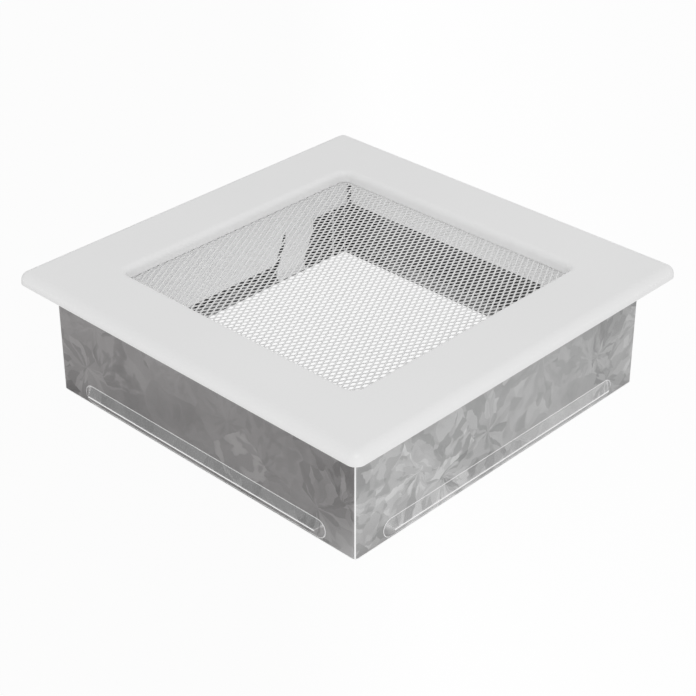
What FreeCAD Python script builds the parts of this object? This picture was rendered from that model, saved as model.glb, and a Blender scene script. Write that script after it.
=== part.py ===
import FreeCAD, Part
import Sketcher
import math
import os
from FreeCAD import Vector

# Fireplace vent grille: a pressed white cover with an expanded metal mesh, riveted to a folded
# inner frame whose spring legs hold it in a galvanised wall box. Millimetres, +Z up.
# The origin is the centre of the wall box at its lower edge. The cover is on top, and the face
# of the wall that the grille is built into lies at the height box_depth.

os.makedirs("parts", exist_ok=True)
doc = FreeCAD.newDocument("fireplace_vent_grille")

# Driving dimensions

SIZES = {
    # pressed cover
    "frame_side": 220.0,
    "frame_sheet": 0.8,
    "frame_corner": 5.0,
    "rim_height": 6.0,
    "rim_round": 4.7,
    "opening_side": 150.0,
    "opening_corner": 5.0,
    "lip_round": 3.0,
    "flange_width": 11.0,
    # expanded metal
    "mesh_border": 9.0,
    "mesh_thick": 1.2,
    "mesh_margin": 1.5,
    "mesh_pitch_x": 15.0,
    "mesh_pitch_y": 28.0,
    "strand_width": 4.8,
    # folded inner frame
    "tray_sheet": 0.8,
    "collar_x": 176.0,
    "collar_y": 184.0,
    "bend_round": 0.5,
    "corner_relief": 1.5,
    "window_step": 1.5,
    "spring_lean": 19.0,
    "spring_gap": 0.3,
    "kink_above_rib": 1.1,
    "kink_round": 0.8,
    "kick_lean": 31.0,
    "kick_length": 3.6,
    "leg_neck": 6.0,
    "leg_width": 20.0,
    "leg_slit": 1.0,
    "wing_width": 87.0,
    "wing_corner": 3.0,
    # wall box
    "box_side": 195.0,
    "box_depth": 58.5,
    "box_sheet": 0.7,
    "box_corner": 2.0,
    "lip_width": 8.0,
    "lip_bend": 0.3,
    "lip_end": 3.5,
    "lip_taper": 4.0,
    "seam_width": 8.7,
    "rib_length": 160.0,
    "rib_height": 9.4,
    "rib_above_edge": 0.8,
    "rib_slope": 30.0,
    "rib_crest": 1.2,
    # rivets
    "rivet_shank": 3.0,
    "rivet_clearance": 0.1,
    "rivet_head": 6.0,
    "rivet_head_height": 1.2,
    "rivet_tail": 4.6,
    "rivet_tail_height": 1.0,
    "rivet_row": 81.0,
    "rivet_spread": 60.0,
}

sheet = doc.addObject("Spreadsheet::Sheet", "sizes")
for row, (alias, value) in enumerate(SIZES.items(), start=1):
    sheet.set(f"A{row}", alias)
    sheet.set(f"B{row}", str(value))
    sheet.setAlias(f"B{row}", alias)
doc.recompute()

# Heights and widths that several pieces share, as expressions over the sheet

RIM_Z = "sizes.box_depth"
MESH_UNDERSIDE = "(sizes.box_depth - sizes.mesh_thick)"
TRAY_UNDERSIDE = "(sizes.box_depth - sizes.mesh_thick - sizes.tray_sheet)"
FLANGE_TOP = "(sizes.box_depth + sizes.frame_sheet)"
FLANGE_SIDE = "(sizes.opening_side + 2 * sizes.flange_width)"
MESH_SIDE = "(sizes.opening_side + 2 * sizes.mesh_border)"
RIVET_HOLE = "(sizes.rivet_shank / 2 + sizes.rivet_clearance)"

# The wall box and its ribs: the groove inside runs parallel to the rib outside

BOX_FACE = "(sizes.box_side / 2)"
BOX_INSIDE = "(sizes.box_side / 2 - sizes.box_sheet)"
RIB_HALF = "(sizes.rib_height / 2)"
RIB_CENTRE = "(sizes.rib_above_edge + sizes.rib_height / 2)"
RIB_RUN = "(sizes.rib_length - sizes.rib_height)"
GROOVE_HALF = "(sizes.rib_height / 2 - sizes.box_sheet * tan(sizes.rib_slope / 2))"
GROOVE_CREST = "(sizes.rib_crest - sizes.box_sheet)"

# The spring legs: the kink stands at the rib, and its height sets how deep the collar is

COLLAR_FACE = "(sizes.collar_x / 2)"
COLLAR_BACK = "(sizes.collar_x / 2 + sizes.tray_sheet)"
SPRING_REACH = "(sizes.box_side / 2 - sizes.box_sheet - sizes.spring_gap)"
KINK_OUTER = "(sizes.kink_round + sizes.tray_sheet)"
KINK_X = f"({SPRING_REACH} - {KINK_OUTER})"
KINK_Z = f"({RIB_CENTRE} + sizes.kink_above_rib)"
KNEE_X = f"({KINK_X} + sizes.kink_round * cos(sizes.spring_lean))"
KNEE_Z = f"({KINK_Z} + sizes.kink_round * sin(sizes.spring_lean))"
NECK_Z = f"({KNEE_Z} + ({KNEE_X} - {COLLAR_FACE}) / tan(sizes.spring_lean))"
FOLD_RISE = "(sizes.tray_sheet * tan(sizes.spring_lean / 2))"
COLLAR_FOOT = f"({NECK_Z} + sizes.leg_neck)"
WING_TIP_X = f"({SPRING_REACH} - sizes.tray_sheet * cos(sizes.spring_lean))"
WING_TIP_Z = f"({COLLAR_FOOT} - ({WING_TIP_X} - {COLLAR_FACE}) / tan(sizes.spring_lean))"

TOLERANCE = 0.01
QUARTER_TURN = math.pi / 2
UPWARD = Vector(0, 0, 1)


def number(expression):
    """The value of an expression over the sheet."""
    return float(sheet.evalExpression(expression))


# Bodies, sketches and edges


def new_body(label):
    body = doc.addObject("PartDesign::Body", label)
    body.Label = label
    return body


def origin_feature(body, role):
    return next(feature for feature in body.Origin.OriginFeatures if feature.Role == role)


def new_sketch(body, name, role="XY_Plane", across=None, up=None, out=None):
    """A sketch on an origin plane, moved by expressions along its own x, y and normal."""
    sketch = body.newObject("Sketcher::SketchObject", name)
    sketch.AttachmentSupport = (origin_feature(body, role), [""])
    sketch.MapMode = "FlatFace"
    for letter, expression in (("x", across), ("y", up), ("z", out)):
        if expression:
            sketch.setExpression(f".AttachmentOffset.Base.{letter}", expression)
    return sketch


def bind(sketch, name, expression, kind, *elements):
    """A dimension of a sketch that follows an expression."""
    index = sketch.addConstraint(Sketcher.Constraint(kind, *elements, number(expression)))
    sketch.renameConstraint(index, name)
    sketch.setExpression(f"Constraints.{name}", expression)


def add_rounded_square(sketch, name, side, corner):
    """A square with rounded corners, centred on the sketch's origin."""
    half = number(side) / 2
    radius = number(corner)
    flat = half - radius
    arcs = []
    lines = []
    for turn in range(4):
        rotation = FreeCAD.Rotation(UPWARD, 90 * turn)
        circle = Part.Circle(rotation.multVec(Vector(flat, flat, 0)), UPWARD, radius)
        start = turn * QUARTER_TURN
        arcs.append(sketch.addGeometry(Part.ArcOfCircle(circle, start, start + QUARTER_TURN)))
        begin = rotation.multVec(Vector(flat, half, 0))
        end = rotation.multVec(Vector(-flat, half, 0))
        lines.append(sketch.addGeometry(Part.LineSegment(begin, end)))
    for turn, direction in enumerate(("Horizontal", "Vertical", "Horizontal", "Vertical")):
        following = arcs[(turn + 1) % 4]
        sketch.addConstraint(Sketcher.Constraint(direction, lines[turn]))
        sketch.addConstraint(Sketcher.Constraint("Tangent", arcs[turn], 2, lines[turn], 1))
        sketch.addConstraint(Sketcher.Constraint("Tangent", lines[turn], 2, following, 1))
    for arc in arcs[1:]:
        sketch.addConstraint(Sketcher.Constraint("Equal", arcs[0], arc))
    sketch.addConstraint(Sketcher.Constraint("Equal", lines[0], lines[1]))
    sketch.addConstraint(Sketcher.Constraint("Symmetric", arcs[0], 3, arcs[2], 3, -1, 1))
    bind(sketch, f"{name}_side", side, "DistanceX", lines[1], 1, lines[3], 1)
    bind(sketch, f"{name}_corner", corner, "Radius", arcs[0])


def add_arc(sketch, begin, end, radius, turn):
    """An arc from begin to end, turning left or right; gives it and its ends in that order."""
    chord = end - begin
    left = Vector(-chord.y, chord.x, 0).normalize()
    rise = math.sqrt(radius**2 - (chord.Length / 2) ** 2)
    if turn == "right":
        rise = -rise
    centre = (begin + end) / 2 + left * rise
    first, last = (begin, end) if turn == "left" else (end, begin)
    start = math.atan2(first.y - centre.y, first.x - centre.x)
    stop = math.atan2(last.y - centre.y, last.x - centre.x)
    arc = sketch.addGeometry(Part.ArcOfCircle(Part.Circle(centre, UPWARD, radius), start, stop))
    return (arc, 1, 2) if turn == "left" else (arc, 2, 1)


def add_outline(sketch, name, points):
    """A closed outline whose corners are held at pairs of expressions.

    A point is (x, y) where a straight side follows it. Where an arc follows it, the point is
    (x, y, radius, "left" or "right"), for the way the outline turns.
    """
    corners = [Vector(number(point[0]), number(point[1]), 0) for point in points]
    pieces = []
    for index, point in enumerate(points):
        begin = corners[index]
        end = corners[(index + 1) % len(corners)]
        if len(point) == 2:
            pieces.append((sketch.addGeometry(Part.LineSegment(begin, end)), 1, 2))
        else:
            pieces.append(add_arc(sketch, begin, end, number(point[2]), point[3]))
    for index, (piece, first, last) in enumerate(pieces):
        following, joined, _ = pieces[(index + 1) % len(pieces)]
        sketch.addConstraint(Sketcher.Constraint("Coincident", piece, last, following, joined))
        point = points[index]
        bind(sketch, f"{name}{index}_x", point[0], "DistanceX", -1, 1, piece, first)
        bind(sketch, f"{name}{index}_y", point[1], "DistanceY", -1, 1, piece, first)
        if len(point) > 2:
            bind(sketch, f"{name}{index}_radius", point[2], "Radius", piece)


def extrude(body, kind, name, sketch, length, symmetric=False, reverse=False):
    """A Pad or a Pocket of a sketch."""
    feature = body.newObject(f"PartDesign::{kind}", name)
    feature.Profile = sketch
    feature.setExpression("Length", length)
    feature.Midplane = symmetric
    feature.Reversed = reverse
    doc.recompute()
    return feature


def spin(body, kind, name, sketch, axis, angle=360, reverse=False):
    """A Revolution or a Groove of a sketch about one of its own axes."""
    feature = body.newObject(f"PartDesign::{kind}", name)
    feature.Profile = sketch
    feature.ReferenceAxis = (sketch, [axis])
    feature.Angle = angle
    feature.Reversed = reverse
    doc.recompute()
    return feature


def repeat_round(body, name, originals, count):
    """Copies of features, evenly spaced about the vertical axis."""
    pattern = body.newObject("PartDesign::PolarPattern", name)
    pattern.Originals = originals
    pattern.Axis = (origin_feature(body, "Z_Axis"), [""])
    pattern.Angle = 360
    pattern.Occurrences = count
    body.Tip = pattern
    doc.recompute()
    return pattern


def edges_of(feature, wanted):
    """The names of a feature's edges whose bounding box passes a test."""
    names = []
    for index, edge in enumerate(feature.Shape.Edges, start=1):
        if wanted(edge.BoundBox):
            names.append(f"Edge{index}")
    return names


def dress(body, kind, name, feature, edges, expression):
    """A Fillet or a Chamfer on edges of a feature."""
    dressed = body.newObject(f"PartDesign::{kind}", name)
    dressed.Base = (feature, edges)
    dressed.setExpression("Radius" if kind == "Fillet" else "Size", expression)
    doc.recompute()
    return dressed


def within(box, z, half):
    """Whether an edge lies level at z and inside a centred square of that half width."""
    level = abs(box.ZMin - z) < TOLERANCE and abs(box.ZMax - z) < TOLERANCE
    reach = max(-box.XMin, box.XMax, -box.YMin, box.YMax)
    return level and reach < half + TOLERANCE


def add_rivet_circles(sketch):
    """Two rivet holes beside the +X edge of the opening."""
    for side, sign in (("near", "-"), ("far", "")):
        spread = f"{sign}sizes.rivet_spread"
        centre = Vector(number("sizes.rivet_row"), number(spread), 0)
        circle = sketch.addGeometry(Part.Circle(centre, UPWARD, number(RIVET_HOLE)))
        bind(sketch, f"{side}_x", "sizes.rivet_row", "DistanceX", -1, 1, circle, 3)
        bind(sketch, f"{side}_y", spread, "DistanceY", -1, 1, circle, 3)
        bind(sketch, f"{side}_radius", RIVET_HOLE, "Radius", circle)


# Front frame: one pressed sheet, drawn with the plane of the wall at its own z = 0


def make_front_frame():
    body = new_body("front_frame")
    body.setExpression(".Placement.Base.z", RIM_Z)

    blank = new_sketch(body, "rim_outline")
    add_rounded_square(blank, "outer", "sizes.frame_side", "sizes.frame_corner")
    add_rounded_square(blank, "inner", "sizes.opening_side", "sizes.opening_corner")
    block = extrude(body, "Pad", "rim_block", blank, "sizes.rim_height")

    top = number("sizes.rim_height")
    opening = number("sizes.opening_side") / 2
    outer_edges = edges_of(
        block,
        lambda box: abs(box.ZMin - top) < TOLERANCE and not within(box, top, opening),
    )
    rim = dress(body, "Fillet", "rim_rounding", block, outer_edges, "sizes.rim_round")
    lip_edges = edges_of(rim, lambda box: within(box, top, opening))
    lip = dress(body, "Fillet", "lip_rolling", rim, lip_edges, "sizes.lip_round")

    underside = min(
        range(len(lip.Shape.Faces)),
        key=lambda index: lip.Shape.Faces[index].CenterOfMass.z,
    )
    shell = body.newObject("PartDesign::Thickness", "sheet_metal")
    shell.Base = (lip, [f"Face{underside + 1}"])
    shell.setExpression("Value", "sizes.frame_sheet")
    shell.Reversed = True
    doc.recompute()

    fold = new_sketch(body, "flange_outline")
    add_rounded_square(fold, "outer", FLANGE_SIDE, "sizes.opening_corner")
    add_rounded_square(fold, "inner", "sizes.opening_side", "sizes.opening_corner")
    extrude(body, "Pad", "flange", fold, "sizes.frame_sheet")

    holes = new_sketch(body, "rivet_hole_centres")
    add_rivet_circles(holes)
    pair = extrude(body, "Pocket", "rivet_holes", holes, "sizes.frame_sheet", reverse=True)
    repeat_round(body, "rivet_holes_round", [pair], 4)
    return body


# Expanded mesh: a flattened sheet of expanded metal, its open field a little wider than the opening


def make_expanded_mesh():
    thick = number("sizes.mesh_thick")
    pitch_x = number("sizes.mesh_pitch_x")
    pitch_y = number("sizes.mesh_pitch_y")
    field = number("sizes.opening_side") / 2 + number("sizes.mesh_margin")
    half_side = number(MESH_SIDE) / 2

    # a hole is the diamond of the lattice, drawn in by half a strand
    cell_reach = pitch_x * pitch_y / 2 / math.hypot(pitch_x, pitch_y)
    shrink = 1 - number("sizes.strand_width") / 2 / cell_reach
    half_x = pitch_x / 2 * shrink
    half_y = pitch_y / 2 * shrink

    columns = math.ceil(field / pitch_x)
    rows = math.ceil(field / pitch_y)
    diamonds = []
    for shift in (0, 0.5):
        for column in range(-columns - 1, columns + 1):
            for row in range(-rows - 1, rows + 1):
                x = (column + shift) * pitch_x
                y = (row + shift) * pitch_y
                if abs(x) - half_x > field or abs(y) - half_y > field:
                    continue
                tips = [(x + half_x, y), (x, y + half_y), (x - half_x, y), (x, y - half_y)]
                corners = [Vector(*tip, 0) for tip in tips]
                diamonds.append(Part.Face(Part.makePolygon(corners + corners[:1])))

    window = Part.makePlane(2 * field, 2 * field, Vector(-field, -field, 0))
    openings = window.common(Part.makeCompound(diamonds))
    blank = Part.makePlane(2 * half_side, 2 * half_side, Vector(-half_side, -half_side, 0))
    field_face = blank.cut(openings)

    # the rivets pass through square pierced holes in the border
    reach = number(RIVET_HOLE)
    holes = []
    for turn in range(4):
        for spread in (-number("sizes.rivet_spread"), number("sizes.rivet_spread")):
            centre = FreeCAD.Rotation(UPWARD, 90 * turn).multVec(
                Vector(number("sizes.rivet_row"), spread, 0)
            )
            holes.append(Part.makePlane(2 * reach, 2 * reach, centre - Vector(reach, reach, 0)))
    mesh_face = field_face.cut(Part.makeCompound(holes))

    mesh = doc.addObject("Part::Feature", "expanded_mesh")
    mesh.Label = "expanded_mesh"
    mesh.Shape = mesh_face.extrude(Vector(0, 0, thick)).Solids[0]
    mesh.setExpression(".Placement.Base.z", MESH_UNDERSIDE)
    return mesh


# Inner frame: one folded sheet with a plate, four collar walls, two wings and four spring legs


def add_tray_section(sketch, half_width):
    """The plate with a wall folded down at each end: an upturned channel."""
    back = f"({half_width} + sizes.tray_sheet)"
    outer = "(sizes.bend_round + sizes.tray_sheet)"
    inner = "sizes.bend_round"
    outer_z = f"({MESH_UNDERSIDE} - {outer})"
    inner_z = f"({TRAY_UNDERSIDE} - {inner})"
    add_outline(sketch, "fold", [
        (f"-{back}", COLLAR_FOOT),
        (f"-{back}", outer_z, outer, "right"),
        (f"{outer} - {back}", MESH_UNDERSIDE),
        (f"{back} - {outer}", MESH_UNDERSIDE, outer, "right"),
        (back, outer_z),
        (back, COLLAR_FOOT),
        (half_width, COLLAR_FOOT),
        (half_width, inner_z, inner, "left"),
        (f"{half_width} - {inner}", TRAY_UNDERSIDE),
        (f"{inner} - {half_width}", TRAY_UNDERSIDE, inner, "left"),
        (f"-{half_width}", inner_z),
        (f"-{half_width}", COLLAR_FOOT),
    ])


def add_leg_section(sketch):
    """A leg: straight below the collar, then leaning out to its kink, then kicking back in."""
    def kink(radius, along, lean, side):
        return f"({KINK_X} + {radius} * cos({lean}) {along})", f"({KINK_Z} {side} {radius} * sin({lean}))"

    lean = "sizes.spring_lean"
    kick = "sizes.kick_lean"
    kick_x = f"- sizes.kick_length * sin({kick})"
    kick_drop = f"sizes.kick_length * cos({kick})"
    inner_low = kink("sizes.kink_round", "", kick, "-")
    outer_low = kink(KINK_OUTER, "", kick, "-")
    add_outline(sketch, "leg", [
        (COLLAR_FACE, COLLAR_FOOT),
        (COLLAR_FACE, NECK_Z),
        (KNEE_X, KNEE_Z, "sizes.kink_round", "right"),
        inner_low,
        (f"({inner_low[0]} {kick_x})", f"({inner_low[1]} - {kick_drop})"),
        (f"({outer_low[0]} {kick_x})", f"({outer_low[1]} - {kick_drop})"),
        (*outer_low, KINK_OUTER, "left"),
        kink(KINK_OUTER, "", lean, "+"),
        (COLLAR_BACK, f"({NECK_Z} + {FOLD_RISE})"),
        (COLLAR_BACK, COLLAR_FOOT),
    ])


def make_inner_frame():
    body = new_body("inner_frame")

    along_x = new_sketch(body, "section_along_x", "XZ_Plane")
    add_tray_section(along_x, COLLAR_FACE)
    extrude(body, "Pad", "tray_along_x", along_x,
            "sizes.collar_y - 2 * sizes.corner_relief", symmetric=True)
    along_y = new_sketch(body, "section_along_y", "YZ_Plane")
    add_tray_section(along_y, "(sizes.collar_y / 2)")
    extrude(body, "Pad", "tray_along_y", along_y,
            "sizes.collar_x - 2 * sizes.corner_relief", symmetric=True)

    window = new_sketch(body, "window_outline", out=MESH_UNDERSIDE)
    add_rounded_square(window, "window", "sizes.opening_side + 2 * sizes.window_step",
                       "sizes.opening_corner")
    extrude(body, "Pocket", "window", window, "sizes.tray_sheet")

    holes = new_sketch(body, "rivet_hole_centres", out=MESH_UNDERSIDE)
    add_rivet_circles(holes)
    pair = extrude(body, "Pocket", "rivet_holes", holes, "sizes.tray_sheet")
    repeat_round(body, "rivet_holes_round", [pair], 4)

    leg_section = new_sketch(body, "leg_section", "XZ_Plane")
    add_leg_section(leg_section)
    legs = extrude(body, "Pad", "leg_panel", leg_section,
                   "sizes.wing_width + 2 * sizes.leg_slit + 2 * sizes.leg_width", symmetric=True)

    gap_section = new_sketch(body, "gap_section", "XZ_Plane")
    add_outline(gap_section, "gap", [
        (f"({COLLAR_FACE} - sizes.tray_sheet)", "0"),
        (BOX_FACE, "0"),
        (BOX_FACE, COLLAR_FOOT),
        (f"({COLLAR_FACE} - sizes.tray_sheet)", COLLAR_FOOT),
    ])
    gap = extrude(body, "Pocket", "wing_gap", gap_section,
                  "sizes.wing_width + 2 * sizes.leg_slit", symmetric=True)

    wing_section = new_sketch(body, "wing_section", "XZ_Plane")
    add_outline(wing_section, "wing", [
        (COLLAR_FACE, COLLAR_FOOT),
        (WING_TIP_X, WING_TIP_Z),
        (SPRING_REACH, f"({WING_TIP_Z} + sizes.tray_sheet * sin(sizes.spring_lean))"),
        (COLLAR_BACK, f"({COLLAR_FOOT} + {FOLD_RISE})"),
        (COLLAR_FACE, f"({COLLAR_FOOT} + {FOLD_RISE})"),
    ])
    wing = extrude(body, "Pad", "wing", wing_section, "sizes.wing_width", symmetric=True)
    sides = repeat_round(body, "opposite_side", [legs, gap, wing], 2)

    # the free corners of the wings are rounded
    wing_half = number("sizes.wing_width") / 2
    tip = number(WING_TIP_Z)
    corners = edges_of(
        sides,
        lambda box: box.YLength < TOLERANCE
        and abs(abs(box.YMin) - wing_half) < TOLERANCE
        and abs(box.ZMin - tip) < TOLERANCE
        and box.ZLength < number("sizes.tray_sheet"),
    )
    dress(body, "Fillet", "wing_corners", sides, corners, "sizes.wing_corner")
    return body


# Wall box: one folded strip with a seam tab, turned-out lips and a pressed rib on each wall


def rib_flank(half, crest):
    """Where a rib's flank meets its rounded crest: out from the wall, and up from its centre."""
    rise = f"({half} * tan(sizes.rib_slope) - {crest} / cos(sizes.rib_slope))"
    return f"({rise} + {crest} * cos(sizes.rib_slope))", f"({crest} * sin(sizes.rib_slope))"


def add_rib_section(sketch, wall, half, crest):
    out, up = rib_flank(half, crest)
    add_outline(sketch, "rib", [
        (wall, f"-{half}"),
        (f"({wall} + {out})", f"-{up}", crest, "left"),
        (f"({wall} + {out})", up),
        (wall, half),
    ])


def add_rib_end(sketch, wall, half, crest):
    """Half of the section, for turning about the rib's centre line."""
    out, up = rib_flank(half, crest)
    height = f"({wall} + {half} * tan(sizes.rib_slope) - {crest} / cos(sizes.rib_slope) + {crest})"
    add_outline(sketch, "end", [
        (wall, "0"),
        (height, "0", crest, "left"),
        (f"({wall} + {out})", up),
        (wall, half),
    ])


def press_rib(body, name, additive, wall, half, crest):
    """A long rib with half-cone ends on each wall, added outside or taken away inside."""
    section = new_sketch(body, f"{name}_section", "XZ_Plane", up=RIB_CENTRE)
    add_rib_section(section, wall, half, crest)
    features = [extrude(body, "Pad" if additive else "Pocket", name, section, RIB_RUN, symmetric=True)]
    for end, place, reverse in (("near", f"{RIB_RUN} / 2", False), ("far", f"-{RIB_RUN} / 2", True)):
        profile = new_sketch(body, f"{name}_{end}_profile", "XZ_Plane", up=RIB_CENTRE, out=place)
        add_rib_end(profile, wall, half, crest)
        features.append(spin(body, "Revolution" if additive else "Groove", f"{name}_{end}_end",
                             profile, "H_Axis", angle=180, reverse=reverse))
    repeat_round(body, f"{name}_each_wall", features, 4)


def make_mounting_box():
    body = new_body("mounting_box")
    wall_top = "(sizes.box_depth - sizes.lip_bend)"

    walls = new_sketch(body, "wall_outline")
    add_rounded_square(walls, "outer", "sizes.box_side", "sizes.box_corner")
    add_rounded_square(walls, "inner", "sizes.box_side - 2 * sizes.box_sheet",
                       "sizes.box_corner - sizes.box_sheet")
    extrude(body, "Pad", "walls", walls, wall_top)

    # the strip's last fold lies inside the -X wall at the +Y corner
    seam = new_sketch(body, "seam_outline")
    add_outline(seam, "seam", [
        (f"-{BOX_INSIDE}", f"({BOX_INSIDE} - sizes.seam_width)"),
        (f"sizes.box_sheet - {BOX_INSIDE}", f"({BOX_INSIDE} - sizes.seam_width)"),
        (f"sizes.box_sheet - {BOX_INSIDE}", BOX_INSIDE),
        (f"-{BOX_INSIDE}", BOX_INSIDE),
    ])
    extrude(body, "Pad", "seam_tab", seam, wall_top)

    lip_x = f"({BOX_FACE} + sizes.lip_bend)"
    lip_tip = f"({BOX_FACE} + sizes.lip_width)"
    lip_top = "(sizes.box_depth + sizes.box_sheet)"
    lip_section = new_sketch(body, "lip_section", "XZ_Plane")
    add_outline(lip_section, "lip", [
        (BOX_INSIDE, wall_top),
        (BOX_FACE, wall_top, "sizes.lip_bend", "right"),
        (lip_x, RIM_Z),
        (lip_tip, RIM_Z),
        (lip_tip, lip_top),
        (lip_x, lip_top, "(sizes.lip_bend + sizes.box_sheet)", "left"),
    ])
    lip = extrude(body, "Pad", "lip", lip_section, "sizes.box_side - 2 * sizes.lip_end",
                  symmetric=True)
    lips = repeat_round(body, "lip_each_wall", [lip], 4)
    tip = number(lip_tip)
    tip_edges = edges_of(
        lips,
        lambda box: box.XLength < TOLERANCE
        and box.YLength < TOLERANCE
        and abs(max(abs(box.XMin), abs(box.YMin)) - tip) < TOLERANCE,
    )
    dress(body, "Chamfer", "lip_tapers", lips, tip_edges, "sizes.lip_taper")

    press_rib(body, "rib", True, BOX_FACE, RIB_HALF, "sizes.rib_crest")
    press_rib(body, "groove", False, BOX_INSIDE, GROOVE_HALF, GROOVE_CREST)
    return body


# Rivets: a low head under the plate of the inner frame and a set tail over the cover's flange


def make_frame_rivets():
    body = new_body("frame_rivets")
    body.AllowCompound = True
    shank = "(sizes.rivet_shank / 2)"
    head = "(sizes.rivet_head / 2)"
    tail = "(sizes.rivet_tail / 2)"
    head_z = f"({TRAY_UNDERSIDE} - sizes.rivet_head_height)"
    tail_z = f"({FLANGE_TOP} + sizes.rivet_tail_height)"
    rivets = []
    for side, place in (("near", "sizes.rivet_spread"), ("far", "-sizes.rivet_spread")):
        profile = new_sketch(body, f"{side}_profile", "XZ_Plane", across="sizes.rivet_row", out=place)
        add_outline(profile, "rivet", [
            ("0", head_z),
            (head, TRAY_UNDERSIDE),
            (shank, TRAY_UNDERSIDE),
            (shank, FLANGE_TOP),
            (tail, FLANGE_TOP),
            ("0", tail_z),
        ])
        rivets.append(spin(body, "Revolution", f"{side}_rivet", profile, "V_Axis"))
    repeat_round(body, "rivets_round", rivets, 4)
    return body


pieces = [
    make_front_frame(),
    make_expanded_mesh(),
    make_inner_frame(),
    make_frame_rivets(),
    make_mounting_box(),
]
doc.recompute()

for item in doc.Objects:
    if "Invalid" in item.State or "Error" in item.State:
        raise RuntimeError(f"{item.Label} did not build: {item.State}")
for piece in pieces:
    if piece.Shape.isNull() or not piece.Shape.isValid():
        raise RuntimeError(f"{piece.Label} has no valid shape")
    piece.Shape.exportStep(f"parts/{piece.Label}.step")
    print(f"{piece.Label}: {len(piece.Shape.Solids)} solid(s), {piece.Shape.Volume:.1f} mm3")
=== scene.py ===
import math

import bpy
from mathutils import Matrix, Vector


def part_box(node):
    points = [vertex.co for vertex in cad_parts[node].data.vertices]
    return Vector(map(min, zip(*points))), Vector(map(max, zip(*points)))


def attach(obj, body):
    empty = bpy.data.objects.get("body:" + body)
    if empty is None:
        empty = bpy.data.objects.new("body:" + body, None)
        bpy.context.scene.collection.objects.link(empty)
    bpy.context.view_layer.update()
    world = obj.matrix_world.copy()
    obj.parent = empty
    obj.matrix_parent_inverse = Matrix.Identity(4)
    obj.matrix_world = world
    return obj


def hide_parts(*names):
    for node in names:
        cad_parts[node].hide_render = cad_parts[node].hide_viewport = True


# Looks of the fireplace vent grille. Metres, in the frame of the CAD model.

MM = 0.001

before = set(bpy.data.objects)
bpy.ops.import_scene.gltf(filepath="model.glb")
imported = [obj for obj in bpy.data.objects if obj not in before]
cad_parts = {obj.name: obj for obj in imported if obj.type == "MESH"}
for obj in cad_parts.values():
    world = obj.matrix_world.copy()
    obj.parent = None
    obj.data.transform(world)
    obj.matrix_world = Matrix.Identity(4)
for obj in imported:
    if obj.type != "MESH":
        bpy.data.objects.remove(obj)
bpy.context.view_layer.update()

# The photograph's camera, worked out from the edges of the grille

IMAGE_SIDE = 696
FOCAL_PIXELS = 1800.5
CENTRE_PIXEL = (350.5, 282.05)
CAMERA_AZIMUTH = math.radians(43.81)
CAMERA_ELEVATION = math.radians(29.20)
CAMERA_PLACE = Vector((0.51344, -0.53392, 0.47095))
SENSOR_WIDTH = 36.0
CLIP_START = 0.01
CLIP_END = 100.0


def make_camera():
    data = bpy.data.cameras.new("photo_camera")
    data.sensor_width = SENSOR_WIDTH
    data.lens = FOCAL_PIXELS / IMAGE_SIDE * SENSOR_WIDTH
    data.shift_x = 0.5 - CENTRE_PIXEL[0] / IMAGE_SIDE
    data.shift_y = CENTRE_PIXEL[1] / IMAGE_SIDE - 0.5
    data.clip_start = CLIP_START
    data.clip_end = CLIP_END
    camera = bpy.data.objects.new("photo_camera", data)
    camera.location = CAMERA_PLACE
    camera.rotation_euler = (math.pi / 2 - CAMERA_ELEVATION, 0, CAMERA_AZIMUTH)
    bpy.context.collection.objects.link(camera)
    bpy.context.scene.camera = camera


# Nodes of a material


def opaque(grey):
    """A grey as the colour of a socket."""
    return (grey, grey, grey, 1.0)


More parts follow.
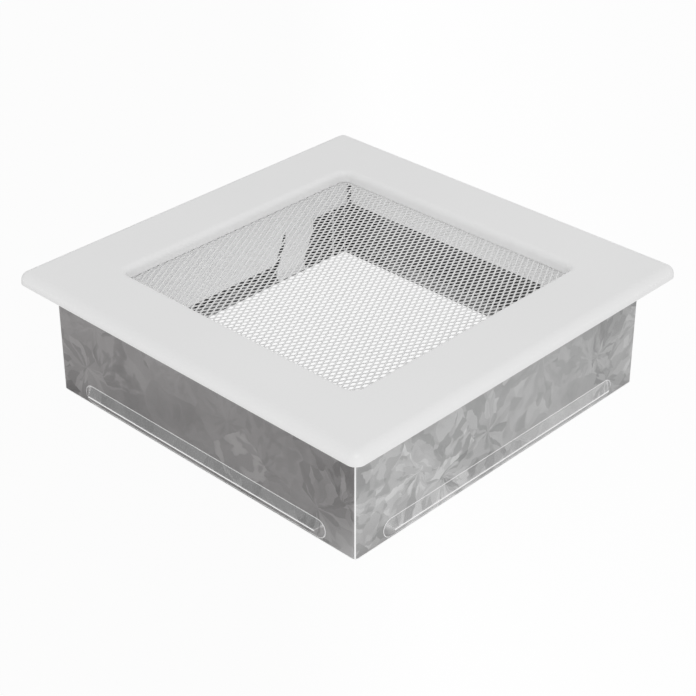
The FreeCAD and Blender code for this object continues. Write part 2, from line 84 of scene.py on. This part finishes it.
class Recipe:
    """The nodes of a material or of the world, added and linked one by one."""

    def __init__(self, owner):
        owner.use_nodes = True
        self.owner = owner
        self.tree = owner.node_tree
        self.tree.nodes.clear()

    def add(self, kind, settings=None, **inputs):
        """A node with its settings; an input's name has _ in place of each space."""
        node = self.tree.nodes.new(kind)
        for key, value in (settings or {}).items():
            setattr(node, key, value)
        for key, value in inputs.items():
            self.feed(node, key.replace("_", " "), value)
        return node

    def feed(self, node, socket, value):
        """Link or set an input, given by its name or by its number as text."""
        target = node.inputs[int(socket) if socket.isdigit() else socket]
        if isinstance(value, bpy.types.NodeSocket):
            self.tree.links.new(value, target)
        else:
            target.default_value = value

    def math(self, operation, first, second=0.0):
        node = self.add("ShaderNodeMath", {"operation": operation})
        self.feed(node, "0", first)
        self.feed(node, "1", second)
        return node.outputs[0]

    def vector_math(self, operation, first, second):
        node = self.add("ShaderNodeVectorMath", {"operation": operation})
        self.feed(node, "0", first)
        self.feed(node, "Scale" if operation == "SCALE" else "1", second)
        return node.outputs["Value" if operation == "DOT_PRODUCT" else "Vector"]

    def map_range(self, value, start, end, first, last, interpolation="LINEAR"):
        """A value from first to last, while the given one goes from start to end."""
        node = self.add(
            "ShaderNodeMapRange",
            {"interpolation_type": interpolation},
            Value=value,
            From_Min=start,
            From_Max=end,
            To_Min=first,
            To_Max=last,
        )
        return node.outputs[0]

    def ramp(self, factor, stops):
        """A tone over a factor. Each stop is a place and a grey or a colour."""
        node = self.add("ShaderNodeValToRGB", Fac=factor)
        elements = node.color_ramp.elements
        for element, (place, _) in zip(elements, (stops[0], stops[-1])):
            element.position = place
        for place, _ in stops[1:-1]:
            elements.new(place)
        for element, (_, grey) in zip(elements, stops):
            colour = grey if isinstance(grey, tuple) else (grey, grey, grey)
            element.color = (*colour, 1.0)
        return node.outputs["Color"]

    def graded(self, factor, span, first, last):
        """A tone from first to last, while the factor crosses the span."""
        return self.ramp(factor, [(span[0], first), (span[1], last)])

    def object_place(self):
        return self.add("ShaderNodeTexCoord").outputs["Object"]

    def noise(self, place, scale, detail=2.0):
        return self.add("ShaderNodeTexNoise", Vector=place, Scale=scale, Detail=detail)

    def mix_colour(self, share, first, second):
        node = self.add("ShaderNodeMix", {"data_type": "RGBA"})
        self.feed(node, "0", share)
        self.feed(node, "6", first)
        self.feed(node, "7", second)
        return node.outputs[2]

    def mix_shader(self, share, first, second):
        node = self.add("ShaderNodeMixShader", Fac=share)
        self.tree.links.new(first, node.inputs[1])
        self.tree.links.new(second, node.inputs[2])
        return node.outputs[0]

    def finish(self, shader, output_kind="ShaderNodeOutputMaterial"):
        output = self.add(output_kind)
        self.tree.links.new(shader, output.inputs["Surface"])
        return self.owner


def new_material(name):
    return Recipe(bpy.data.materials.new(name))


# White powder coat and the rivets' aluminium. Densities are in waves to the metre.

COVER_GREY = 0.82
# The inner frame's white is lighter than the cover's: painted light for the dimmer space within the
# box.
INNER_LIGHTENED_GREY = 0.92
MESH_GREY = 0.85
NOISE_SPAN = (0.3, 0.7)
DRIFT_DENSITY = 14.0
DRIFT_SHADE = 0.985
RIPPLE_DENSITY = 900.0
RIPPLE_DETAIL = 3.0
RIPPLE_STRENGTH = 0.1
RIPPLE_HEIGHT = 0.03 * MM
PAINT_SMOOTH = 0.28
PAINT_ROUGH = 0.34
GRAIN_DENSITY = 1500.0
ALUMINIUM_DARK = 0.62
ALUMINIUM_LIGHT = 0.72
ALUMINIUM_ROUGH = 0.35


def powder_coat(name, grey):
    """White powder coat: satin, with the faint ripple of the cured paint."""
    recipe = new_material(name)
    place = recipe.object_place()
    drift = recipe.noise(place, DRIFT_DENSITY).outputs["Fac"]
    colour = recipe.graded(drift, NOISE_SPAN, grey * DRIFT_SHADE, grey)
    ripple = recipe.noise(place, RIPPLE_DENSITY, RIPPLE_DETAIL).outputs["Fac"]
    gloss = recipe.graded(ripple, NOISE_SPAN, PAINT_SMOOTH, PAINT_ROUGH)
    bump = recipe.add(
        "ShaderNodeBump", Strength=RIPPLE_STRENGTH, Distance=RIPPLE_HEIGHT, Height=ripple
    )
    shader = recipe.add(
        "ShaderNodeBsdfPrincipled", Base_Color=colour, Roughness=gloss, Normal=bump.outputs[0]
    )
    return recipe.finish(shader.outputs[0])


def aluminium(name):
    recipe = new_material(name)
    grain = recipe.noise(recipe.object_place(), GRAIN_DENSITY).outputs["Fac"]
    colour = recipe.graded(grain, NOISE_SPAN, ALUMINIUM_DARK, ALUMINIUM_LIGHT)
    shader = recipe.add(
        "ShaderNodeBsdfPrincipled", Base_Color=colour, Metallic=1.0, Roughness=ALUMINIUM_ROUGH
    )
    return recipe.finish(shader.outputs[0])


# Spangle of the zinc: crystals that grew from a centre, in arms, leaves and shards

SPANGLE_SIZE = 32 * MM
CENTRE_SHIFT = 34 * MM
ARMS = 6.0
LEAVES_ROUND = 21.0
LEAF_LENGTH = 10 * MM
LEAF_DETAIL = 1.5
LEAF_STOPS = [(0.48, 0.0), (0.52, 0.6), (0.66, 1.0)]
SHARD_STOPS = [(0.3, 0.0), (0.32, 0.5), (0.72, 0.6), (0.74, 1.0)]
CLEARNESS_STOPS = [(0.35, 0.25), (0.5, 1.0)]
BEND_SIZE = 11 * MM
BEND_REACH = 7 * MM
JAG_SIZE = 2.0 * MM
JAG_REACH = 1.3 * MM
CLOUD_SIZE = 38 * MM
LEAF_WEIGHT = 0.3
SHARD_WEIGHT = 0.24
ARM_WEIGHT = 0.1
CLOUD_WEIGHT = 0.4

# How far apart the seeds of two crystals are drawn, so that they share neither arms nor leaves

ARM_SEEDS = 50.0
LEAF_SEEDS = 20.0

# The zinc's tones and gloss over the spangle, outside the box, and darker within it as painted shade

TONE_SPAN = (0.2, 0.8)
ZINC_DARK = 0.4
ZINC_LIGHT = 0.8
SHADED_INSIDE_DARK = 0.14
SHADED_INSIDE_LIGHT = 0.3
INWARDS = 20 * MM
ZINC_ROUGH = 0.26
ZINC_SMOOTH = 0.18

# Painted highlights of the box: white lines along pressed edges, crests of the ribs and folds

EDGE_ROUND = 0.6 * MM
EDGE_SPAN = (0.991, 0.998)
EDGE_SAMPLES = 12
HIGHLIGHT_WHITE = 0.93
HIGHLIGHT_ROUGH = 0.5
BOX_HALF = 97.5 * MM
FOLD_LINE = 0.85 * MM
CREST_LINE = 2.48 * MM


def sheet_place(recipe):
    """The place on the folded strip: round the box, and up it."""
    axes = recipe.add("ShaderNodeSeparateXYZ", Vector=recipe.object_place())
    around = recipe.math("ADD", axes.outputs["X"], axes.outputs["Y"])
    strip = recipe.add("ShaderNodeCombineXYZ", X=around, Y=axes.outputs["Z"])
    return strip.outputs[0]


def bent(recipe, place, size, reach):
    """The place pushed about by a noise of that size."""
    push = recipe.noise(place, 1 / size, detail=1.0).outputs["Color"]
    push = recipe.vector_math("SUBTRACT", push, (0.5, 0.5, 0.5))
    return recipe.vector_math("ADD", place, recipe.vector_math("SCALE", push, reach))


def swing(recipe, value, weight):
    """A value from 0 to 1 as a weighted swing about nought."""
    return recipe.math("MULTIPLY", recipe.math("SUBTRACT", value, 0.5), weight)


def from_centre(recipe, grown, crystals):
    """The way from a crystal's centre, which lies off the middle of its cell."""
    shift = recipe.vector_math("SUBTRACT", crystals.outputs["Color"], (0.5, 0.5, 0.5))
    shift = recipe.vector_math("MULTIPLY", shift, (CENTRE_SHIFT, CENTRE_SHIFT, 0.0))
    offset = recipe.vector_math("SUBTRACT", grown, crystals.outputs["Position"])
    return recipe.vector_math("SUBTRACT", offset, shift)


def spangle_tone(recipe):
    """About one half, with lighter or darker leaves for each crystal, shards, arms and clouds."""
    strip = sheet_place(recipe)
    grown = bent(recipe, bent(recipe, strip, BEND_SIZE, BEND_REACH), JAG_SIZE, JAG_REACH)
    crystals = recipe.add(
        "ShaderNodeTexVoronoi", {"voronoi_dimensions": "2D"}, Vector=grown, Scale=1 / SPANGLE_SIZE
    )
    seed = recipe.add("ShaderNodeSeparateColor", Color=crystals.outputs["Color"])
    offset = from_centre(recipe, grown, crystals)

    # share of a turn round the centre, and the tone of the arm it lies in
    axes = recipe.add("ShaderNodeSeparateXYZ", Vector=offset)
    angle = recipe.math("ARCTAN2", axes.outputs["Y"], axes.outputs["X"])
    turn = recipe.math("ADD", recipe.math("DIVIDE", angle, 2 * math.pi), seed.outputs[0])
    turn = recipe.math("FRACT", recipe.math("ADD", turn, 1.0))
    arm = recipe.math("FLOOR", recipe.math("MULTIPLY", turn, ARMS))
    arm_seed = recipe.math("MULTIPLY", seed.outputs[1], ARM_SEEDS)
    key = recipe.add("ShaderNodeCombineXYZ", X=arm, Y=arm_seed)
    arm_tone = recipe.add(
        "ShaderNodeTexWhiteNoise", {"noise_dimensions": "2D"}, Vector=key.outputs[0]
    )

    # leaves and shards lie along the rays from the centre
    reach = recipe.add("ShaderNodeVectorMath", {"operation": "LENGTH"}, Vector=offset)
    leaf_place = recipe.add(
        "ShaderNodeCombineXYZ",
        X=recipe.math("MULTIPLY", turn, LEAVES_ROUND),
        Y=recipe.math("DIVIDE", reach.outputs["Value"], LEAF_LENGTH),
        Z=recipe.math("MULTIPLY", seed.outputs[2], LEAF_SEEDS),
    )
    growth = recipe.noise(leaf_place.outputs[0], 1.0, LEAF_DETAIL).outputs["Fac"]
    leaves = recipe.ramp(growth, LEAF_STOPS)
    cells = recipe.add("ShaderNodeTexVoronoi", Vector=leaf_place.outputs[0], Scale=1.0)
    cell_tone = recipe.add("ShaderNodeSeparateColor", Color=cells.outputs["Color"])
    shard = recipe.ramp(cell_tone.outputs[0], SHARD_STOPS)
    clearness = recipe.ramp(seed.outputs[2], CLEARNESS_STOPS)
    cloud = recipe.noise(grown, 1 / CLOUD_SIZE).outputs["Fac"]

    leaves = recipe.math("MULTIPLY", leaves, swing(recipe, seed.outputs[0], 2.0 * LEAF_WEIGHT))
    shards = recipe.math("MULTIPLY", swing(recipe, shard, SHARD_WEIGHT), clearness)
    arms = swing(recipe, arm_tone.outputs[0], ARM_WEIGHT)
    clouds = swing(recipe, cloud, CLOUD_WEIGHT)
    tone = recipe.math("ADD", leaves, arms)
    tone = recipe.math("ADD", recipe.math("ADD", tone, shards), clouds)
    return recipe.math("ADD", tone, 0.5)


def painted_highlight_edges(recipe, rounded):
    """One along the pressed edges, where the rounded normal leaves the flat one; there highlights are
    painted.
    """
    flat = recipe.add("ShaderNodeNewGeometry").outputs["Normal"]
    return recipe.graded(recipe.vector_math("DOT_PRODUCT", rounded, flat), EDGE_SPAN, 1.0, 0.0)


def wall_places(recipe):
    """How far out a point is along X and Y: the smaller distance, then the larger one."""
    axes = recipe.add("ShaderNodeSeparateXYZ", Vector=recipe.object_place())
    across = recipe.math("ABSOLUTE", axes.outputs["X"])
    along = recipe.math("ABSOLUTE", axes.outputs["Y"])
    return recipe.math("MINIMUM", across, along), recipe.math("MAXIMUM", across, along)


def faces_inwards(recipe):
    """One where the sheet's surface looks towards the middle of the box, where the zinc gets painted
    shade.
    """
    coordinates = recipe.add("ShaderNodeTexCoord")
    outwards = recipe.vector_math("MULTIPLY", coordinates.outputs["Object"], (1.0, 1.0, 0.0))
    agree = recipe.vector_math("DOT_PRODUCT", outwards, coordinates.outputs["Normal"])
    return recipe.math("LESS_THAN", agree, -INWARDS)


def galvanised(name):
    """Hot-dip zinc with spangle, with painted shade within the box and painted highlights along
    folds, crests and pressed edges.
    """
    recipe = new_material(name)
    nearer, farther = wall_places(recipe)
    tone = spangle_tone(recipe)
    outside = recipe.graded(tone, TONE_SPAN, ZINC_DARK, ZINC_LIGHT)
    # painted shade: darker zinc tones where the sheet faces into the box
    painted_shade_inside = recipe.graded(tone, TONE_SPAN, SHADED_INSIDE_DARK, SHADED_INSIDE_LIGHT)
    colour = recipe.mix_colour(faces_inwards(recipe), outside, painted_shade_inside)
    gloss = recipe.graded(tone, TONE_SPAN, ZINC_ROUGH, ZINC_SMOOTH)
    zinc = recipe.add("ShaderNodeBsdfPrincipled", Base_Color=colour, Metallic=1.0, Roughness=gloss)
    rounded = recipe.add("ShaderNodeBevel", {"samples": EDGE_SAMPLES}, Radius=EDGE_ROUND).outputs[0]
    # painted highlight: a rough white shader mixed in along pressed edges, rib crests and corner
    # folds, standing in for the shine on the bends
    painted_highlight = recipe.add(
        "ShaderNodeBsdfPrincipled",
        Base_Color=opaque(HIGHLIGHT_WHITE),
        Roughness=HIGHLIGHT_ROUGH,
        Normal=rounded,
    )
    # where the white lines of painted highlight lie: corner folds and rib crests
    folds = recipe.math("GREATER_THAN", nearer, BOX_HALF - FOLD_LINE)
    crests = recipe.math("GREATER_THAN", farther, BOX_HALF + CREST_LINE)
    lines = recipe.math("MAXIMUM", folds, crests)
    bright = recipe.math("MAXIMUM", painted_highlight_edges(recipe, rounded), lines)
    return recipe.finish(recipe.mix_shader(bright, zinc.outputs[0], painted_highlight.outputs[0]))


def dress_node(name, material):
    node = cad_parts[name]
    for slot in node.material_slots:
        slot.material = material


# Expanded metal at its true pitch: tilted strands between slits that were drawn open along X

SHORT_WAY = 3.0 * MM
LONG_WAY = 5.6 * MM
HOLE_HALF_WIDTH = 0.78 * MM
HOLE_HALF_LENGTH = 2.27 * MM
KNUCKLE_HALF = 0.5 * MM
STRAND_THICKNESS = 0.55 * MM
STRAND_RISE = 0.32 * MM
FIELD_HALF = 78 * MM
RIM_INSIDE = 77.2 * MM

SQUARE_CORNERS = ((-1, -1), (1, -1), (1, 1), (-1, 1))


def hole_corners(x, y, middle):
    """A slit drawn open: its left side stands high, its right side low, its ends between."""
    high = middle + STRAND_RISE
    low = middle - STRAND_RISE
    return {
        "right_low": (x + HOLE_HALF_WIDTH, y - KNUCKLE_HALF, low),
        "right_up": (x + HOLE_HALF_WIDTH, y + KNUCKLE_HALF, low),
        "top": (x, y + HOLE_HALF_LENGTH, middle),
        "left_up": (x - HOLE_HALF_WIDTH, y + KNUCKLE_HALF, high),
        "left_low": (x - HOLE_HALF_WIDTH, y - KNUCKLE_HALF, high),
        "bottom": (x, y - HOLE_HALF_LENGTH, middle),
    }


def strand_faces(holes, key):
    """The knuckle to the right of a hole and the two strands above it, as corner lists."""
    column, row = key
    here = holes[key]
    right = holes.get((column + 2, row))
    above = holes.get((column + 1, row + 1))
    below = holes.get((column + 1, row - 1))
    above_left = holes.get((column - 1, row + 1))
    faces = []
    if right and above and below:
        faces.append((here["right_low"], below["top"], right["left_low"]))
        faces.append((here["right_low"], right["left_low"], right["left_up"], here["right_up"]))
        faces.append((here["right_up"], right["left_up"], above["bottom"]))
    if above:
        faces.append((here["right_up"], above["bottom"], above["left_low"], here["top"]))
    if above_left:
        faces.append((here["top"], above_left["right_low"], above_left["bottom"], here["left_up"]))
    return faces


def thicken(points, faces, thickness):
    """Give a sheet of faces an underside and close its free edges."""
    count = len(points)
    solid_points = points + [(x, y, z - thickness) for x, y, z in points]
    edges = {}
    for face in faces:
        for begin, end in zip(face, face[1:] + face[:1]):
            edges[(begin, end)] = True
    solid_faces = list(faces)
    solid_faces += [tuple(corner + count for corner in reversed(face)) for face in faces]
    for begin, end in edges:
        if (end, begin) not in edges:
            solid_faces.append((end, begin, begin + count, end + count))
    return solid_points, solid_faces


def strand_field(middle):
    """Points and faces of the field of strands about that height."""
    points = []
    holes = {}
    columns = int(2 * FIELD_HALF / SHORT_WAY) + 2
    rows = int(2 * FIELD_HALF / LONG_WAY) + 2
    for column in range(-columns, columns + 1):
        for row in range(-rows, rows + 1):
            if (column + row) % 2:
                continue
            x = column * SHORT_WAY / 2
            y = row * LONG_WAY / 2
            if abs(x) > FIELD_HALF or abs(y) > FIELD_HALF:
                continue
            corners = {}
            for corner, place in hole_corners(x, y, middle + STRAND_THICKNESS / 2).items():
                corners[corner] = len(points)
                points.append(place)
            holes[(column, row)] = corners
    faces = []
    for key in holes:
        faces += strand_faces(holes, key)
    return thicken(points, faces, STRAND_THICKNESS)


def flat_rim(low, high):
    """Points and faces of the sheet's rim, pressed flat between flange and inner frame."""
    rim = [
        (sx * side, sy * side, high[2])
        for side in (high[0], RIM_INSIDE)
        for sx, sy in SQUARE_CORNERS
    ]
    strips = [(turn, (turn + 1) % 4, 4 + (turn + 1) % 4, 4 + turn) for turn in range(4)]
    return thicken(rim, strips, high[2] - low[2])


def make_mesh():
    low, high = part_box("expanded_mesh")
    points, faces = strand_field((low[2] + high[2]) / 2)
    rim_points, rim_faces = flat_rim(low, high)
    start = len(points)
    points += rim_points
    faces += [tuple(corner + start for corner in face) for face in rim_faces]

    data = bpy.data.meshes.new("mesh_strands")
    data.from_pydata(points, [], faces)
    data.validate()
    data.update()
    strands = bpy.data.objects.new("mesh_strands", data)
    bpy.context.collection.objects.link(strands)
    data.materials.append(powder_coat("mesh_paint", MESH_GREY))
    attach(strands, "cover")
    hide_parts("expanded_mesh")


# Studio floor, with painted shade that the zinc mirrors: dark on the camera's left, over white beside
# the box, to a middle grey on the right, by X + Y from the shade's start to its end, and dark under
# the box.

FLOOR_HALF = 6.0
FLOOR_SHADE_START = -0.5
FLOOR_SHADE_END = 0.5
FLOOR_SHADE_STOPS = [(0.455, (0.41, 0.395, 0.395)), (0.545, 1.0), (0.8, 0.58)]
FLOOR_SHADE_IN_BOX = 0.2
SHOWN_WHITE = 0.96
MIRRORED_WHITE = 0.1


def make_floor():
    data = bpy.data.meshes.new("studio_floor")
    corners = [(sx * FLOOR_HALF, sy * FLOOR_HALF, 0.0) for sx, sy in SQUARE_CORNERS]
    data.from_pydata(corners, [], [(0, 1, 2, 3)])
    floor = bpy.data.objects.new("studio_floor", data)
    bpy.context.collection.objects.link(floor)
    recipe = new_material("studio_floor")
    axes = recipe.add("ShaderNodeSeparateXYZ", Vector=recipe.object_place())
    across = recipe.math("ADD", axes.outputs["X"], axes.outputs["Y"])
    # painted shade on the floor, seen only in the metal's reflections: dark towards the camera's left
    # and under the box
    shade_place = recipe.map_range(across, FLOOR_SHADE_START, FLOOR_SHADE_END, 0.0, 1.0)
    shaded_in_box = recipe.math("LESS_THAN", wall_places(recipe)[1], BOX_HALF)
    colour = recipe.mix_colour(shaded_in_box, recipe.ramp(shade_place, FLOOR_SHADE_STOPS), opaque(FLOOR_SHADE_IN_BOX))
    paint = recipe.add("ShaderNodeBsdfDiffuse", Color=colour)
    white = recipe.add("ShaderNodeEmission", Color=opaque(1.0), Strength=1.0)

    # nearly all white to the camera and glass, a light table to the paint, and the painted shade with
    # a little white in the metal
    path = recipe.add("ShaderNodeLightPath")
    seen = recipe.math("MAXIMUM", path.outputs["Is Camera Ray"], path.outputs["Is Transmission Ray"])
    shown = recipe.math("MULTIPLY", seen, SHOWN_WHITE)
    mirrored = recipe.math("MULTIPLY", path.outputs["Is Glossy Ray"], MIRRORED_WHITE)
    share = recipe.math("MAXIMUM", path.outputs["Is Diffuse Ray"], mirrored)
    share = recipe.math("MAXIMUM", shown, share)
    data.materials.append(recipe.finish(recipe.mix_shader(share, paint.outputs[0], white.outputs[0])))


# World: the fill low down and overhead, and the levels that the metal mirrors on the photo's
# left and right, with a bright band along the horizon

FILL_LOW = 0.98
FILL_HIGH = 0.7
MIRRORED_LEFT = 0.36
MIRRORED_RIGHT = 0.74
HORIZON_GLOW = 1.5
HORIZON_HEIGHT = 0.06


def make_world():
    world = bpy.data.worlds.new("studio")
    bpy.context.scene.world = world
    recipe = Recipe(world)
    direction = recipe.add("ShaderNodeTexCoord").outputs["Generated"]
    axes = recipe.add("ShaderNodeSeparateXYZ", Vector=direction)
    across = recipe.math("ADD", axes.outputs["X"], axes.outputs["Y"])
    side = recipe.map_range(across, -1.0, 1.0, MIRRORED_LEFT, MIRRORED_RIGHT)
    height = recipe.math("ABSOLUTE", axes.outputs["Z"])
    glow = recipe.map_range(height, 0.0, HORIZON_HEIGHT, HORIZON_GLOW, 0.0, "SMOOTHSTEP")
    mirrored = recipe.math("ADD", side, glow)
    level = recipe.map_range(height, 0.0, 1.0, FILL_LOW, FILL_HIGH)

    path = recipe.add("ShaderNodeLightPath")
    fill = recipe.add("ShaderNodeBackground", Color=opaque(1.0), Strength=level)
    glossy = recipe.add("ShaderNodeBackground", Color=opaque(1.0), Strength=mirrored)
    shown = recipe.add("ShaderNodeBackground", Color=opaque(1.0), Strength=1.0)
    lit = recipe.mix_shader(path.outputs["Is Glossy Ray"], fill.outputs[0], glossy.outputs[0])
    mixed = recipe.mix_shader(path.outputs["Is Camera Ray"], lit, shown.outputs[0])
    recipe.finish(mixed, "ShaderNodeOutputWorld")


KEY_PLACE = (0.9, -0.7, 1.4)
KEY_SIDE = 1.0
KEY_POWER = 5.0


def make_key_light():
    data = bpy.data.lights.new("key_light", "AREA")
    data.shape = "SQUARE"
    data.size = KEY_SIDE
    data.energy = KEY_POWER
    light = bpy.data.objects.new("key_light", data)
    light.location = KEY_PLACE
    light.rotation_euler = Vector(KEY_PLACE).to_track_quat("Z", "Y").to_euler()
    bpy.context.collection.objects.link(light)


make_camera()
make_world()
make_floor()
make_key_light()
make_mesh()
dress_node("front_frame", powder_coat("cover_paint", COVER_GREY))
# painted light: the inner frame's paint is lighter than the cover's
dress_node("inner_frame", powder_coat("inner_paint", INNER_LIGHTENED_GREY))
dress_node("frame_rivets", aluminium("rivet_aluminium"))
dress_node("mounting_box", galvanised("spangled_zinc"))

bpy.context.scene.view_settings.view_transform = "Standard"
